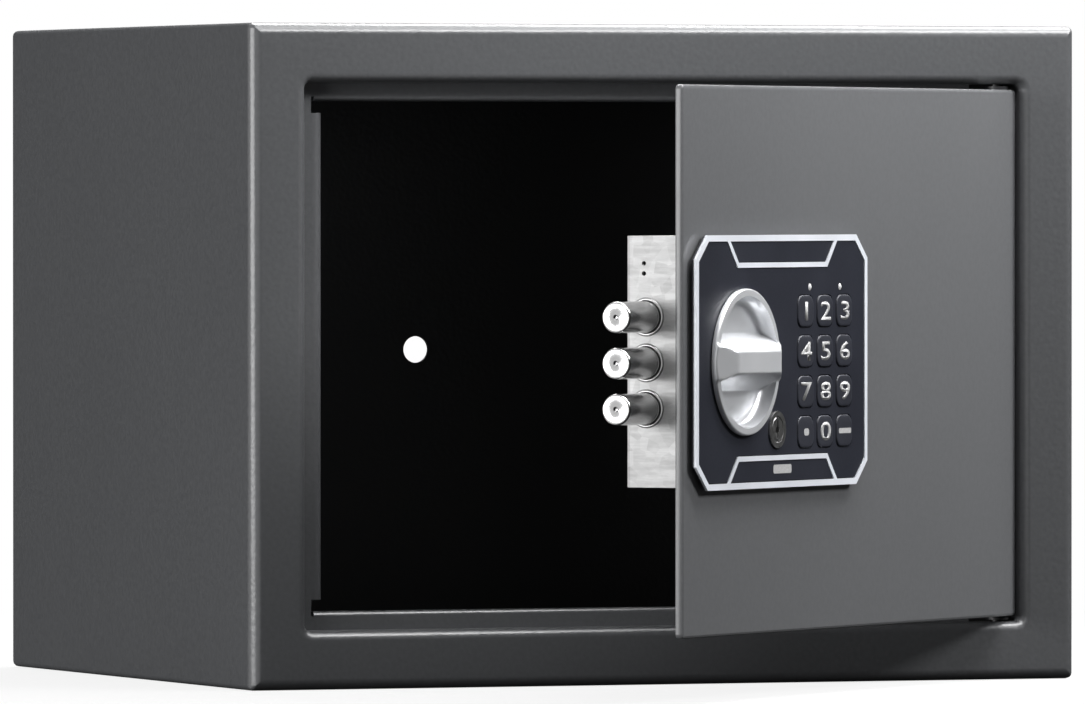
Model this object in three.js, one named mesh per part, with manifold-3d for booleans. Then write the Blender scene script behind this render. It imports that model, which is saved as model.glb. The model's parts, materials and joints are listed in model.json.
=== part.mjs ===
// Small steel safe: folded cabinet, pressed front frame, a door hinged on the right with an
// electronic keypad, and three round bolts that a turn knob draws back inside a sheet steel case.
// Millimetres. +X right, +Y towards the back, +Z up. The origin is the centre of the base.
import * as THREE from 'three';
import { mergeVertices } from 'three/addons/utils/BufferGeometryUtils.js';
import Module from 'manifold-3d';

const wasm = await Module();
wasm.setup();

// Driving dimensions

const cabinet = { width: 310, depth: 250, height: 230, sheet: 1.5, corner: 2, rearEdge: 2.5 };
const frame = {
  outerEdge: 4, // radius of the rounding along the cabinet's front edges
  opening: 20.4, // inset of the doorway's walls from the cabinet's outer faces
  innerEdge: 3.4, // radius of the rounding round the doorway
  wallDepth: 12, // how far the doorway's walls run back
  skirt: 14, // depth of the tongue that sits inside the wrap
  sheet: 1.5,
  cornerRadius: 2,
  sharpest: 0.4, // smallest radius of a folded corner
};
const rear = { rim: 10, lap: 1, innerBend: 0.5 }; // the back panel's turned rim and its sheet
const rebate = {
  depth: 7, // the lip that the door closes against, behind the front
  back: 12, // where the turned-back flange ends
  side: { flat: 25.6, bend: 3.5 }, // inset where the bend starts, and its outer radius
  end: { flat: 25.2, bend: 1.7 }, // the same for the lips above and below the door
  relief: 1.1, // how far the corner cut-outs reach past the bend line
  sideFlange: 168, // height of the side lip's flange, between the corner cut-outs
  hingeClear: 38, // the upper and lower lips stop this far from the hinge side
};
const anchorHole = { x: 1.5, z: 114, radius: 4.9, length: 10 };

const door = {
  width: 264.6,
  height: 185.4,
  thickness: 3,
  edge: 0.9, // rounding of the plate's edges
  corner: 1.6,
  recess: 0.5, // the plate's face lies this far behind the frame's front
  hingeGap: 3,
  open: 41.3, // degrees
};
const hinge = {
  inset: 4.2,
  depth: 5.5,
  pinRadius: 2.5,
  pinChamfer: 0.6,
  pinHead: { reach: 0.6, height: 1, dome: 0.4 },
  wallFit: 0.1, // clearance of the pin in the frame
  turnFit: 0.15, // clearance of the pin in the door's knuckle
  knuckleHeight: 18,
  knuckleRadius: 4.3,
  leaf: { length: 7, thickness: 2.8, shoulder: 3.9 },
  endGap: 0.2,
  washer: 1.2,
};
const middle = cabinet.height / 2; // height of the door's centre line
const lockHeight = 114.4; // height of the knob, the lock panel and the middle bolt

const panel = {
  left: 4.7,
  width: 132.6,
  height: 85.6,
  chamfer: { along: 8.8, up: 8 },
  front: -2.6,
  back: -0.3,
  foot: 2.4, // how far the panel's foot lies inside the rim's outer edge
  footFront: -1,
  shelf: 0.3, // how far the shelf behind the rim lies inside that edge
};
const trim = { rim: 2.1, rimDepth: 0.9, line: 1.7, lineDepth: 0.4, proud: 0.2 };
const trapezoid = { outer: 84.4, inner: 68.4, depth: 9.1 };
const keys = {
  column: 103.8, // the middle column, from the door's free edge
  columnPitch: 15.1,
  row: 131.2, // height of the top row
  rowPitch: 13.7,
  width: 12.2,
  height: 10.8,
  corner: 3.2,
  clearance: 0.3,
  front: -3.1,
  back: -1.6,
  dome: [[0, 0.5], [0.25, 0.18], [1, 0]], // inset and depth of the rings that round the face
};
const keypad = { s: [79, 128.6], z: [82.6, 146], front: -0.9, fit: 0.1 }; // the pocket behind the keys
const lamps = {
  spread: 11.8,
  centre: 104.4,
  height: 139.4,
  radius: 1.2,
  length: 1.6,
  proud: 0.25,
  dome: [[0, 0], [0.7, 0.1], [1.2, 0.4]],
};
const knob = {
  centre: 40.9,
  ringRadius: 24.8,
  ringWidth: 2.5,
  ringFront: -4.6,
  ringBack: -2.9,
  edge: 0.4, // rounding of the ring's and the grip's edges
  cupRadius: 23.1,
  fit: 0.5, // clearance of the cup in the door and panel
  cupBack: 2,
  dishDepth: 5,
  dishFillet: 3.5,
  gripRise: 4.5,
  gripLength: 32.4,
  gripTop: 7.4,
  gripBase: 19,
  hubRadius: 8,
  hubBack: 4.3,
};
const shaft = { radius: 4, front: -2.5, back: 8.5 };
const crank = {
  front: 5.2,
  back: 8.2,
  hubRadius: 9,
  armRadius: 15.2,
  armWaist: 7, // half the arm's width at the hub
  pinRadius: 2.5,
  pinWall: 2,
  pinBack: 12.4,
};
const carrier = {
  front: 8.8,
  thickness: 2,
  flangeStart: 23.4,
  flangeThickness: 2.5,
  plateEnd: 37.6,
  low: 95,
  high: 135.6,
  tailEnd: 52,
  tailRise: 1, // the tail's lower edge clears the key plug
  tailHeight: 6.5,
  slotHalfWidth: 3.2,
  slotCorner: 3.1,
  notchHalfWidth: 3.2,
  notchDepth: 3.8,
};
const bolts = {
  radius: 5.3,
  pitch: 15.4,
  depth: 18, // of the axes, behind the door's face
  tip: -13.8,
  end: carrier.flangeStart - 0.2,
  tipChamfer: 0.8,
  spigotRadius: 3,
  spigotEnd: carrier.flangeStart + carrier.flangeThickness + 1,
};
const guide = { s: 14.6, thickness: 1.5, foot: 5.3, low: 92, high: 136.8, back: 24, fit: 0.35 };
const lockCase = {
  left: 9,
  right: 140,
  low: 72.6,
  high: 157,
  front: 3.3,
  back: 26.3,
  sheet: 1.2,
  bend: 3.2,
  holeRadius: 6,
};
const airHoles = { v: 18.9, radius: 0.8, heights: [147.8, 144.4] };
const screws = {
  left: 22,
  right: 133,
  low: 78.5,
  high: 151,
  shankRadius: 2,
  shankStart: 12,
  chamfer: 0.6,
  headRadius: 4,
  headHeight: 1.2,
  domeHeight: 1,
  slot: { length: 2.6, halfWidth: 0.45, depth: 1.1 },
};
const post = { radius: 3.6, boreRadius: 2.3, boreStart: 6 };
const override = {
  s: 66.4,
  z: 91.2,
  radius: 6.3,
  nutRadius: 8.6,
  nutThickness: 2.6,
  front: -3.2,
  back: 8.2,
  plugRadius: 4.4,
  plugFit: 0.15,
  plugEdge: 0.2,
  plugSunk: 0.1,
  stemRadius: 3,
  stemEnd: 14.4,
  keyway: { halfWidth: 0.55, halfHeight: 3.2, wardHalfWidth: 1.3, wardHalfHeight: 1, depth: 4.4 },
  cam: { v: [11.9, 13.7], hubRadius: 5.2, armHalfWidth: 2, armLength: 12.2 },
};
const solenoid = {
  s: 47,
  v: 9.8,
  width: 16,
  depth: 12.4,
  low: 75,
  high: 87.2,
  sheet: 1.4,
  coilRadius: 5.6,
  plungerRadius: 2.5,
  plungerDip: 7.4, // how far the drawn plunger reaches into the coil
  collar: { s: [-3.5, 10.5], v: [-2.5, 4.8], thickness: 1.4 },
};
const battery = {
  cellRadius: 7.1,
  cellLength: 50,
  cellStart: 81.6,
  cellEdge: 0.6,
  capRadius: 2.7,
  capHeight: 1,
  pitch: 14.6,
  middle: 114,
  v: 15.1,
  wall: 2.6,
  holderFront: 6.2,
};
const window = { left: 80, right: 132, low: 86, high: 142 };
const cover = {
  left: 77,
  right: 135,
  low: 83,
  high: 145,
  corner: 2.5,
  thickness: 2,
  edge: 0.5,
  rail: { s: [82, 118], width: 1.2, depth: 1.6, inset: 0.5 },
  ridge: { first: 121, pitch: 2.4, width: 1.1, height: 0.7, z: [101, 127], count: 5 },
};
const reset = {
  s: 70.5,
  z: 124,
  radius: 3,
  stemRadius: 1.6,
  stemStart: 10.7,
  headLength: 4.9,
  proud: 1.6,
  edge: 0.5,
};
const board = {
  s: [60.8, 128],
  z: [104, 149.5],
  thickness: 1.6,
  buzzer: { s: 69, z: 141.5, radius: 6, height: 7.5 },
  plug: { s: [63, 76], z: [106.5, 113], height: 8 },
  button: { half: 3, height: 5 },
};
const gap = 0.3; // clearance kept between neighbouring pieces of the door
const past = 1; // how far a cutting tool reaches past the piece that it cuts

// Materials

const finish = (color, roughness, metalness) =>
  new THREE.MeshStandardMaterial({ color, roughness, metalness });
const paint = () => finish(0x55575a, 0.5, 0.3);
const doorPaint = () => finish(0x6b6c6e, 0.45, 0.3);
const steel = () => finish(0xb9bcbe, 0.35, 0.9);
const zinc = () => finish(0xcfd2d4, 0.45, 0.7);
const chrome = () => finish(0xc9cacc, 0.25, 1);
const darkPlastic = () => finish(0x2c2f37, 0.45, 0);
const blackPlastic = () => finish(0x18191b, 0.5, 0);
const blackSteel = () => finish(0x222325, 0.4, 0.6);
const silver = () => finish(0xd8dbe0, 0.35, 0.6);

// Solids and placing

// A manifold solid from a closed geometry
function toSolid(geometry) {
  const bare = geometry.clone();
  bare.deleteAttribute('normal');
  bare.deleteAttribute('uv');
  const merged = mergeVertices(bare, 1e-4);
  return new wasm.Manifold(
    new wasm.Mesh({
      numProp: 3,
      vertProperties: new Float32Array(merged.attributes.position.array),
      triVerts: new Uint32Array(merged.index.array),
    }),
  );
}

function fromSolid(solid) {
  const mesh = solid.getMesh();
  const geometry = new THREE.BufferGeometry();
  geometry.setAttribute('position', new THREE.BufferAttribute(mesh.vertProperties, 3));
  geometry.setIndex(new THREE.BufferAttribute(mesh.triVerts, 1));
  return geometry;
}

const join = (...parts) => fromSolid(parts.map(toSolid).reduce((a, b) => a.add(b)));
const cut = (body, ...tools) =>
  fromSolid(tools.map(toSolid).reduce((a, b) => a.subtract(b), toSolid(body)));
const common = (a, b) => fromSolid(toSolid(a).intersect(toSolid(b)));

function box([x0, x1], [y0, y1], [z0, z1]) {
  const geometry = new THREE.BoxGeometry(x1 - x0, y1 - y0, z1 - z0);
  return geometry.translate((x0 + x1) / 2, (y0 + y1) / 2, (z0 + z1) / 2);
}

// A shape drawn in a plane, extruded and laid so that its axes run along the given directions
function extrude(shape, length, xAxis, yAxis, origin, bevel = 0) {
  const geometry = new THREE.ExtrudeGeometry(shape, {
    depth: length - 2 * bevel,
    bevelEnabled: bevel > 0,
    bevelThickness: bevel,
    bevelSize: bevel,
    bevelOffset: -bevel,
    bevelSegments: 2,
    curveSegments: 2,
  });
  const zAxis = new THREE.Vector3().crossVectors(xAxis, yAxis);
  const matrix = new THREE.Matrix4().makeBasis(xAxis, yAxis, zAxis);
  geometry.translate(0, 0, bevel);
  return geometry.applyMatrix4(matrix.setPosition(origin));
}

const alongX = new THREE.Vector3(1, 0, 0);
const alongY = new THREE.Vector3(0, 1, 0);
const alongZ = new THREE.Vector3(0, 0, 1);

// Extrusions of an outline in the XY plane along Z, in the YZ plane along X, and in XZ along Y
const prismZ = (shape, z0, z1) =>
  extrude(shape, z1 - z0, alongX, alongY, new THREE.Vector3(0, 0, z0));
const prismX = (shape, x0, x1) =>
  extrude(shape, x1 - x0, alongY, alongZ, new THREE.Vector3(x0, 0, 0));
const slabY = (shape, y0, y1, bevel) =>
  extrude(shape, y1 - y0, alongX, alongZ, new THREE.Vector3(0, y1, 0), bevel);

const outline = (points) => new THREE.Shape(points.map(([x, y]) => new THREE.Vector2(x, y)));

function roundedRectangle([x0, x1], [y0, y1], radius) {
  const shape = new THREE.Shape();
  shape.absarc(x1 - radius, y0 + radius, radius, -Math.PI / 2, 0);
  shape.absarc(x1 - radius, y1 - radius, radius, 0, Math.PI / 2);
  shape.absarc(x0 + radius, y1 - radius, radius, Math.PI / 2, Math.PI);
  shape.absarc(x0 + radius, y0 + radius, radius, Math.PI, 1.5 * Math.PI);
  return shape;
}

// Points of an arc in a plane, angles in degrees
function arc([cx, cy], radius, from, to, steps) {
  return Array.from({ length: steps + 1 }, (_, i) => {
    const angle = THREE.MathUtils.degToRad(from + ((to - from) * i) / steps);
    return [cx + radius * Math.cos(angle), cy + radius * Math.sin(angle)];
  });
}

const hexagon = (centre, radius) => arc(centre, radius, 0, 300, 5);

// A turned piece: its profile is [radius, height] pairs from axis to axis, laid along a direction
function turned(profile, direction, origin, segments = 32) {
  const points = profile.map(([radius, height]) => new THREE.Vector2(radius, height));
  const geometry = new THREE.LatheGeometry(points, segments);
  const turn = new THREE.Quaternion().setFromUnitVectors(alongY, direction);
  return geometry.applyQuaternion(turn).translate(origin.x, origin.y, origin.z);
}

const rod = (radius, length, direction, origin, segments) =>
  turned([[0, 0], [radius, 0], [radius, length], [0, length]], direction, origin, segments);

// A closed body from loops of equal length: capped at both ends, or joined end to end
function loft(loops, endless = false) {
  const count = loops[0].length;
  const positions = loops.flat().flatMap((point) => [point.x, point.y, point.z]);
  const faces = [];
  const last = endless ? loops.length : loops.length - 1;
  for (let i = 0; i < last; i++) {
    for (let j = 0; j < count; j++) {
      const a = i * count + j;
      const b = i * count + ((j + 1) % count);
      const c = ((i + 1) % loops.length) * count + j;
      const d = ((i + 1) % loops.length) * count + ((j + 1) % count);
      faces.push([a, b, d], [a, d, c]);
    }
  }
  if (!endless) {
    const top = (loops.length - 1) * count;
    for (let j = 1; j < count - 1; j++) {
      faces.push([0, j + 1, j], [top, top + j, top + j + 1]);
    }
  }
  const geometry = new THREE.BufferGeometry();
  geometry.setAttribute('position', new THREE.Float32BufferAttribute(positions, 3));
  geometry.setIndex(faces.flat());
  return volume(geometry) < 0 ? flipped(geometry, faces) : geometry;
}

function flipped(geometry, faces) {
  geometry.setIndex(faces.flatMap(([a, b, c]) => [a, c, b]));
  return geometry;
}

function volume(geometry) {
  const corner = [0, 1, 2].map(() => new THREE.Vector3());
  const { index } = geometry;
  let sum = 0;
  for (let i = 0; i < index.count; i += 3) {
    corner.forEach((v, k) => v.fromBufferAttribute(geometry.attributes.position, index.getX(i + k)));
    sum += corner[0].dot(corner[1].clone().cross(corner[2]));
  }
  return sum / 6;
}

// Cabinet

// A rounded rectangle parallel to the front, inset from the cabinet's outer faces
function frameLoop([inset, depth], radius) {
  const w = cabinet.width / 2 - inset;
  const y = depth - cabinet.depth / 2;
  const corners = [[w, cabinet.height - inset, 0], [-w, cabinet.height - inset, 90]];
  corners.push([-w, inset, 180], [w, inset, 270]);
  return corners.flatMap(([x, z, from]) => {
    const centre = [x - Math.sign(x) * radius, z - Math.sign(z - middle) * radius];
    return arc(centre, radius, from, from + 90, 3).map(([px, pz]) => new THREE.Vector3(px, y, pz));
  });
}

// The corner radius of a loop: sharp at the outside, larger towards the border's middle
function cornerRadius(inset) {
  const outer = Math.max(cabinet.corner - inset, frame.sharpest);
  const inner = frame.cornerRadius + frame.opening - inset;
  return inset < frame.outerEdge + frame.sheet ? outer : inner;
}

const frameRing = (profile, radius = cornerRadius) =>
  loft(profile.map((point) => frameLoop(point, radius(point[0]))), true);

function cabinetWrap() {
  const t = cabinet.sheet;
  const back = cabinet.depth - cabinet.rearEdge;
  const profile = [[0, frame.outerEdge], [0, back], [t, back], [t, frame.outerEdge]];
  return frameRing(profile, (inset) => Math.max(cabinet.corner - inset, frame.sharpest));
}

// The lip's section: flat against the door, then turned back round a bend
function lipSection({ flat, bend }) {
  const t = frame.sheet;
  const { depth, back } = rebate;
  const centre = [flat, depth + bend];
  return [
    [frame.opening - t / 2, depth],
    ...arc(centre, bend, -90, 0, 5),
    [flat + bend, back],
    [flat + bend - t, back],
    ...arc(centre, bend - t, 0, -90, 3),
    [frame.opening - t / 2, depth + t],
  ];
}

function frontFrame() {
  const { outerEdge, innerEdge, opening, sheet: t, wallDepth, skirt } = frame;
  const flatEnd = opening - innerEdge;
  const profile = [
    ...arc([outerEdge, outerEdge], outerEdge, 180, 270, 5),
    ...arc([flatEnd, innerEdge], innerEdge, -90, 0, 6),
    [opening, wallDepth],
    [opening - t, wallDepth],
    ...arc([flatEnd, innerEdge], innerEdge - t, 0, -90, 3),
    [outerEdge + t, t],
    [2 * t, outerEdge],
    [2 * t, skirt],
    [t, skirt],
    [t, outerEdge],
  ];
  const left = -cabinet.width / 2;
  const front = -cabinet.depth / 2;
  const lipEnd = cabinet.width / 2 - rebate.hingeClear;
  const side = lipSection(rebate.side).map(([inset, depth]) => [left + inset, front + depth]);
  const low = lipSection(rebate.end).map(([inset, depth]) => [front + depth, inset]);
  const high = low.map(([y, z]) => [y, cabinet.height - z]).reverse();
  const lipFace = [front + rebate.depth, front + rebate.depth + t];
  const flatSide = [left + opening - t / 2, left + rebate.side.flat - rebate.relief];
  const flatSpan = [opening, cabinet.height - opening];
  const body = join(
    frameRing(profile),
    prismZ(outline(side), middle - rebate.sideFlange / 2, middle + rebate.sideFlange / 2),
    box(flatSide, lipFace, flatSpan),
    prismX(outline(low), left + rebate.side.flat, lipEnd),
    prismX(outline(high), left + rebate.side.flat, lipEnd),
    box([left + opening, left + rebate.side.flat], lipFace, [opening, rebate.end.flat]),
    box(
      [left + opening, left + rebate.side.flat],
      lipFace,
      [cabinet.height - rebate.end.flat, cabinet.height - opening],
    ),
  );
  return cut(body, rod(hinge.pinRadius + hinge.wallFit, cabinet.height, alongZ, pivot));
}

function backPanel() {
  const t = cabinet.sheet;
  const { depth, rearEdge: r } = cabinet;
  const { rim, lap, innerBend } = rear;
  const profile = [
    ...arc([r, depth - r], r, 180, 90, 4),
    [rim, depth],
    [rim, depth - t],
    [2 * t + innerBend, depth - t],
    [2 * t, depth - t - innerBend],
    [2 * t, depth - frame.skirt],
    [t, depth - frame.skirt],
    [t, depth - r],
  ];
  const ring = frameRing(profile, (inset) => Math.max(cabinet.corner - inset, frame.sharpest));
  const inset = rim - lap;
  const half = cabinet.width / 2 - inset;
  const sheet = box([-half, half], [depth / 2 - t, depth / 2], [inset, cabinet.height - inset]);
  const { x, z, radius, length } = anchorHole;
  return cut(join(ring, sheet), rod(radius, length, alongY, at(x, (depth - length) / 2, z)));
}

// The pins run through the doorway's upper and lower walls into the door's knuckles
const at = (x, y, z) => new THREE.Vector3(x, y, z);
const pivot = at(
  cabinet.width / 2 - frame.opening - door.hingeGap - hinge.inset,
  door.recess + hinge.depth - cabinet.depth / 2,
  0,
);

function hingePin(up) {
  const { pinRadius: radius, pinChamfer: c, pinHead: head } = hinge;
  const wall = cabinet.height - frame.opening + frame.sheet + hinge.wallFit;
  const inner = middle + door.height / 2 - hinge.knuckleHeight;
  const start = up > 0 ? inner : cabinet.height - inner;
  const length = wall - inner;
  const profile = [[0, 0], [radius - c, 0], [radius, c], [radius, length]];
  profile.push([radius + head.reach, length], [radius + head.reach, length + head.height]);
  profile.push([0, length + head.height + head.dome]);
  return turned(profile, at(0, 0, up), at(pivot.x, pivot.y, start), 24);
}

// Door. Its pieces are drawn closed, with the hinge axis as the local origin. s runs from the
// free edge towards the hinge, v from the plate's face towards the inside.

const S = (s) => s - (door.width - hinge.inset);
const V = (v) => v - hinge.depth;
const inDoor = (s, v, z) => at(S(s), V(v), z);
const doorBox = ([s0, s1], [v0, v1], z) => box([S(s0), S(s1)], [V(v0), V(v1)], z);
const doorSlab = (shape, [v0, v1], bevel) => slabY(shape, V(v0), V(v1), bevel);
const doorRod = (radius, s, z, [v0, v1], segments) =>
  rod(radius, v1 - v0, alongY, inDoor(s, v0, z), segments);
const doorOutline = (points) => outline(points.map(([s, z]) => [S(s), z]));

function doorPlate() {
  const { width, height, thickness, corner, edge } = door;
  const span = [middle - height / 2, middle + height / 2];
  const sheet = doorSlab(roundedRectangle([S(0), S(width)], span, corner), [0, thickness], edge);
  const through = [-past, thickness + past];
  const postSpan = [thickness / 2, postEnd];
  const posts = screwPlaces().map(([s, z]) => doorRod(post.radius, s, z, postSpan, 20));
  const boreSpan = [post.boreStart, postEnd + past];
  const bores = screwPlaces().map(([s, z]) => doorRod(post.boreRadius, s, z, boreSpan, 16));
  return cut(
    join(sheet, ...posts),
    doorRod(knob.cupRadius + knob.fit, knob.centre, lockHeight, through, 48),
    doorRod(override.radius + gap, override.s, override.z, through, 24),
    ...bores,
  );
}

const postEnd = lockCase.back - lockCase.sheet - gap;
const screwPlaces = () =>
  [screws.left, screws.right].flatMap((s) => [[s, screws.low], [s, screws.high]]);

// A pan-head screw with a cross slot
function caseScrew(s, z) {
  const { shankRadius: r, headRadius: h, shankStart, chamfer, headHeight, domeHeight, slot } = screws;
  const seat = lockCase.back + gap;
  const top = seat + headHeight;
  const shank = [[0, shankStart], [r - chamfer, shankStart], [r, shankStart + chamfer], [r, seat]];
  const dome = [90, 60, 30, 0].map((angle) => {
    const radians = THREE.MathUtils.degToRad(angle);
    return [h * Math.sin(radians), top + domeHeight * Math.cos(radians)];
  });
  const body = turned([...shank, [h, seat], ...dome], alongY, inDoor(s, 0, z), 14);
  const { length, halfWidth, depth } = slot;
  const span = [top + domeHeight - depth, top + 2 * domeHeight];
  const slots = [[length, halfWidth], [halfWidth, length]].map(([w, half]) =>
    doorBox([s - w, s + w], span, [z - half, z + half]),
  );
  return cut(body, ...slots);
}

// The knuckle's leaf is welded behind the plate's hinge edge, and its barrel turns on the pin
function hingeKnuckle(up) {
  const { knuckleRadius: r, knuckleHeight, leaf, endGap, pinRadius, turnFit } = hinge;
  const end = door.height / 2 - endGap;
  const [low, high] = [middle + up * (end - knuckleHeight), middle + up * end].sort((a, b) => a - b);
  const front = door.thickness + gap - hinge.depth;
  const start = THREE.MathUtils.radToDeg(Math.asin(front / r));
  const shape = outline([
    [-r - leaf.length, front],
    ...arc([0, 0], r, start, 90, 6),
    [-r, leaf.shoulder],
    [-r - leaf.length, front + leaf.thickness],
  ]);
  const bore = rod(pinRadius + turnFit, 2 * knuckleHeight, alongZ, at(0, 0, low - knuckleHeight / 2), 24);
  return cut(prismZ(shape, low, high), bore);
}

function hingeWasher(up) {
  const { knuckleRadius, washer, endGap, pinRadius, turnFit } = hinge;
  const z = middle + (up * door.height) / 2 - (up > 0 ? 0 : washer);
  const disc = rod(knuckleRadius - endGap, washer, alongZ, at(0, 0, z), 24);
  return cut(disc, rod(pinRadius + turnFit, 3 * washer, alongZ, at(0, 0, z - washer), 24));
}

// Lock panel

const panelCentre = panel.left + panel.width / 2;

// The panel's outline with cut corners, moved inwards by a margin
function panelOutline(margin) {
  const w = panel.width / 2;
  const h = panel.height / 2;
  const { along, up } = panel.chamfer;
  const quarter = [[w, h - up], [w - along, h]];
  const points = [
    ...quarter,
    ...quarter.map(([x, y]) => [-x, y]).reverse(),
    ...quarter.map(([x, y]) => [-x, -y]),
    ...quarter.map(([x, y]) => [x, -y]).reverse(),
  ];
  return offsetLine(points, margin, true).map(([x, y]) => [panelCentre + x, lockHeight + y]);
}

// The line that steps round the upper or lower middle of the panel
function trapezoidLine(side) {
  const edge = panel.height / 2 - trim.rim / 2;
  const half = [[trapezoid.outer / 2, edge], [trapezoid.inner / 2, edge - trapezoid.depth]];
  const points = [...half, ...half.map(([x, y]) => [-x, y]).reverse()];
  return points.map(([x, y]) => [panelCentre + x, lockHeight + side * y]);
}

// A line of points moved to its left by a distance, with mitred corners
function offsetLine(points, distance, closed = false) {
  const last = points.length - 1;
  return points.map((point, i) => {
    const previous = i > 0 || !closed ? points[i - 1] : points[last];
    const following = i < last || !closed ? points[i + 1] : points[0];
    const before = direction(previous ?? point, previous ? point : following);
    const after = direction(following ? point : previous, following ?? point);
    const normal = [-(before[1] + after[1]), before[0] + after[0]];
    const scale = (2 * distance) / (normal[0] ** 2 + normal[1] ** 2);
    return [point[0] + normal[0] * scale, point[1] + normal[1] * scale];
  });
}

function direction([x0, y0], [x1, y1]) {
  const length = Math.hypot(x1 - x0, y1 - y0);
  return [(x1 - x0) / length, (y1 - y0) / length];
}

const band = (points, width) =>
  doorOutline([...offsetLine(points, width / 2), ...offsetLine(points, -width / 2).reverse()]);

const trimFront = panel.front - trim.proud;
const rimBack = trimFront + trim.rimDepth;
const lineBack = trimFront + trim.lineDepth;

// The silver trim: a rim along the panel's edge and the two stepped lines that join it
function trimBody(margin, front) {
  const rim = doorOutline(panelOutline(-margin));
  rim.holes.push(doorOutline(panelOutline(trim.rim + margin)));
  const lines = [1, -1].map((side) =>
    doorSlab(band(trapezoidLine(side), trim.line + 2 * margin), [front, lineBack + margin]),
  );
  return join(doorSlab(rim, [front, rimBack + margin]), ...lines);
}

const escutcheonTrim = () => trimBody(0, trimFront);

// A plate with a shelf that carries the rim, on a smaller foot
function escutcheon() {
  const { front, back, foot, footFront, shelf } = panel;
  const plate = doorSlab(doorOutline(panelOutline(shelf)), [front, footFront]);
  const base = doorSlab(doorOutline(panelOutline(foot)), [footFront - gap, back]);
  const through = [front - past, back + past];
  const windows = keyPlaces().map(({ s, z }) => {
    const w = keys.width / 2 + keys.clearance;
    const h = keys.height / 2 + keys.clearance;
    return doorSlab(roundedRectangle([S(s - w), S(s + w)], [z - h, z + h], keys.corner), through);
  });
  const lampHoles = lampPlaces().map((s) => doorRod(lamps.radius + gap, s, lamps.height, through, 16));
  return cut(
    join(plate, base),
    trimBody(gap, front - past),
    doorBox(keypad.s, [keypad.front - gap, back + past], keypad.z),
    doorRod(knob.cupRadius + knob.fit, knob.centre, lockHeight, through, 48),
    doorRod(override.radius + gap, override.s, override.z, through, 24),
    ...windows,
    ...lampHoles,
  );
}

const keypadBoard = () =>
  doorBox(
    [keypad.s[0] + gap, keypad.s[1] - gap],
    [keypad.front, panel.back - keypad.fit],
    [keypad.z[0] + gap, keypad.z[1] - gap],
  );

const keyNames = ['1', '2', '3', '4', '5', '6', '7', '8', '9', 'dot', '0', 'dash'];
const keyPlaces = () =>
  keyNames.map((name, i) => ({
    name: `key_${name}`,
    s: keys.column + ((i % 3) - 1) * keys.columnPitch,
    z: keys.row - Math.floor(i / 3) * keys.rowPitch,
  }));

// A key: straight sides and a softly domed face
function keyCap({ s, z }) {
  const { width, height, corner, front, back, dome } = keys;
  const levels = [[0, back], ...dome.map(([inset, depth]) => [inset, front + depth])];
  return loft(
    levels.map(([inset, v]) => {
      const r = corner - inset;
      const x = width / 2 - inset - r;
      const y = height / 2 - inset - r;
      const centres = [[x, y], [-x, y], [-x, -y], [x, -y]];
      const points = centres.flatMap((centre, i) => arc(centre, r, 90 * i, 90 * (i + 1), 3));
      return points.map(([px, py]) => inDoor(s + px, v, z + py));
    }),
  );
}

const lampPlaces = () => [lamps.centre - lamps.spread, lamps.centre + lamps.spread];
function lamp(s) {
  const { radius, length, proud, height, dome } = lamps;
  const profile = [...dome, [radius, length], [0, length]];
  return turned(profile, alongY, inDoor(s, panel.front - proud, height), 16);
}

// Knob: a ring with a dished face, crossed by a raised grip

function knobBody() {
  const { ringRadius, ringWidth, ringFront, ringBack, edge } = knob;
  const { cupRadius, cupBack, hubRadius, hubBack } = knob;
  const dish = ringRadius - ringWidth;
  const floor = ringFront + knob.dishDepth;
  const fillet = knob.dishFillet;
  const profile = [
    [0, floor],
    ...arc([dish - fillet, floor - fillet], fillet, 90, 0, 5),
    [dish, ringFront + edge],
    [dish + edge, ringFront],
    [ringRadius - edge, ringFront],
    [ringRadius, ringFront + edge],
    [ringRadius, ringBack],
    [cupRadius, ringBack],
    [cupRadius, cupBack],
    [hubRadius, cupBack],
    [hubRadius, hubBack],
    [0, hubBack],
  ];
  const disc = turned(profile, alongY, inDoor(knob.centre, 0, lockHeight), 60);
  const boreSpan = [shaft.front - gap, hubBack + past];
  const bore = doorRod(shaft.radius + gap, knob.centre, lockHeight, boreSpan);
  return cut(join(disc, gripBar()), bore);
}

// The grip widens from its flat top to the dish's floor, and its ends slope to the ring
function gripBar() {
  const { ringRadius, ringFront, ringBack, edge, cupRadius, cupBack, dishDepth } = knob;
  const { gripRise, gripLength, gripTop, gripBase } = knob;
  const top = ringFront - gripRise;
  const half = edge / 2;
  const atRing = gripTop + ((gripBase - gripTop) * gripRise) / (gripRise + dishDepth);
  const levels = [
    [ringRadius, gripBase / 2, ringFront + dishDepth + edge],
    [ringRadius, atRing / 2, ringFront + half],
    [ringRadius - edge, atRing / 2 - half, ringFront - half],
    [gripLength / 2, gripTop / 2, top + edge],
    [gripLength / 2 - edge, gripTop / 2 - edge, top],
  ];
  const bar = loft(
    levels.map(([x, z, v]) =>
      [[-x, -z], [x, -z], [x, z], [-x, z]].map(([dx, dz]) =>
        inDoor(knob.centre + dx, v, lockHeight + dz),
      ),
    ),
  );
  const [ring, cup, step] = [ringRadius - half, cupRadius - half, ringBack - half];
  const profile = [[0, top - past], [ring, top - past], [ring, step], [cup, step]];
  profile.push([cup, cupBack], [0, cupBack]);
  return common(bar, turned(profile, alongY, inDoor(knob.centre, 0, lockHeight), 60));
}

const spindle = () =>
  doorRod(shaft.radius, knob.centre, lockHeight, [shaft.front, shaft.back], 24);

// Bolt work

const throwOffset = crank.armRadius * Math.SQRT1_2;

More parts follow.
